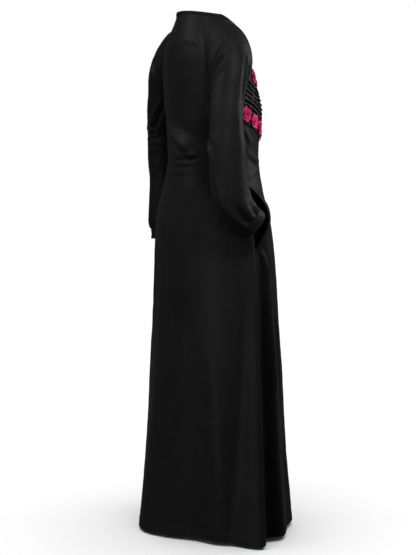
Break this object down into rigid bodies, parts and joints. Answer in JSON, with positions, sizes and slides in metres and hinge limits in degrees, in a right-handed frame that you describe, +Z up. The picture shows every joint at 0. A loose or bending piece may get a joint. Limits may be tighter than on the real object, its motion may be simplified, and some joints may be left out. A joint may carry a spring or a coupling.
{
  "type": "abaya",
  "caption": "Floor-length abaya in worn form: raglan sleeves gathered into narrow cuffs, side-seam pockets, and a tucked chest band edged with flower appliques.",
  "frame": {"origin": "middle of the neck opening, level with the tops of the shoulders", "axes": "+Z up, -Y the way the wearer faces, +X the wearer's left"},
  "size_m": [0.5893, 0.4484, 1.501],
  "materials": {
    "black_crepe": "soft satin-backed crepe",
    "pink_applique": "matt with a soft sheen"
  },
  "bodies": {
    "root": {"back": "black_crepe", "front": "black_crepe", "sleeve_right": "black_crepe", "sleeve_left": "black_crepe", "cuff_right": "black_crepe", "cuff_left": "black_crepe", "neck_binding": "black_crepe", "pocket_right": "black_crepe", "pocket_left": "black_crepe", "chest_band": "black_crepe", "flower_upper_1": "pink_applique", "flower_upper_2": "pink_applique", "flower_upper_3": "pink_applique", "flower_upper_4": "pink_applique", "flower_upper_5": "pink_applique", "flower_upper_6": "pink_applique", "flower_lower_1": "pink_applique", "flower_lower_2": "pink_applique", "flower_lower_3": "pink_applique", "flower_lower_4": "pink_applique", "flower_lower_5": "pink_applique", "flower_lower_6": "pink_applique", "flower_lower_7": "pink_applique", "flower_lower_8": "pink_applique"}
  },
  "joints": []
}
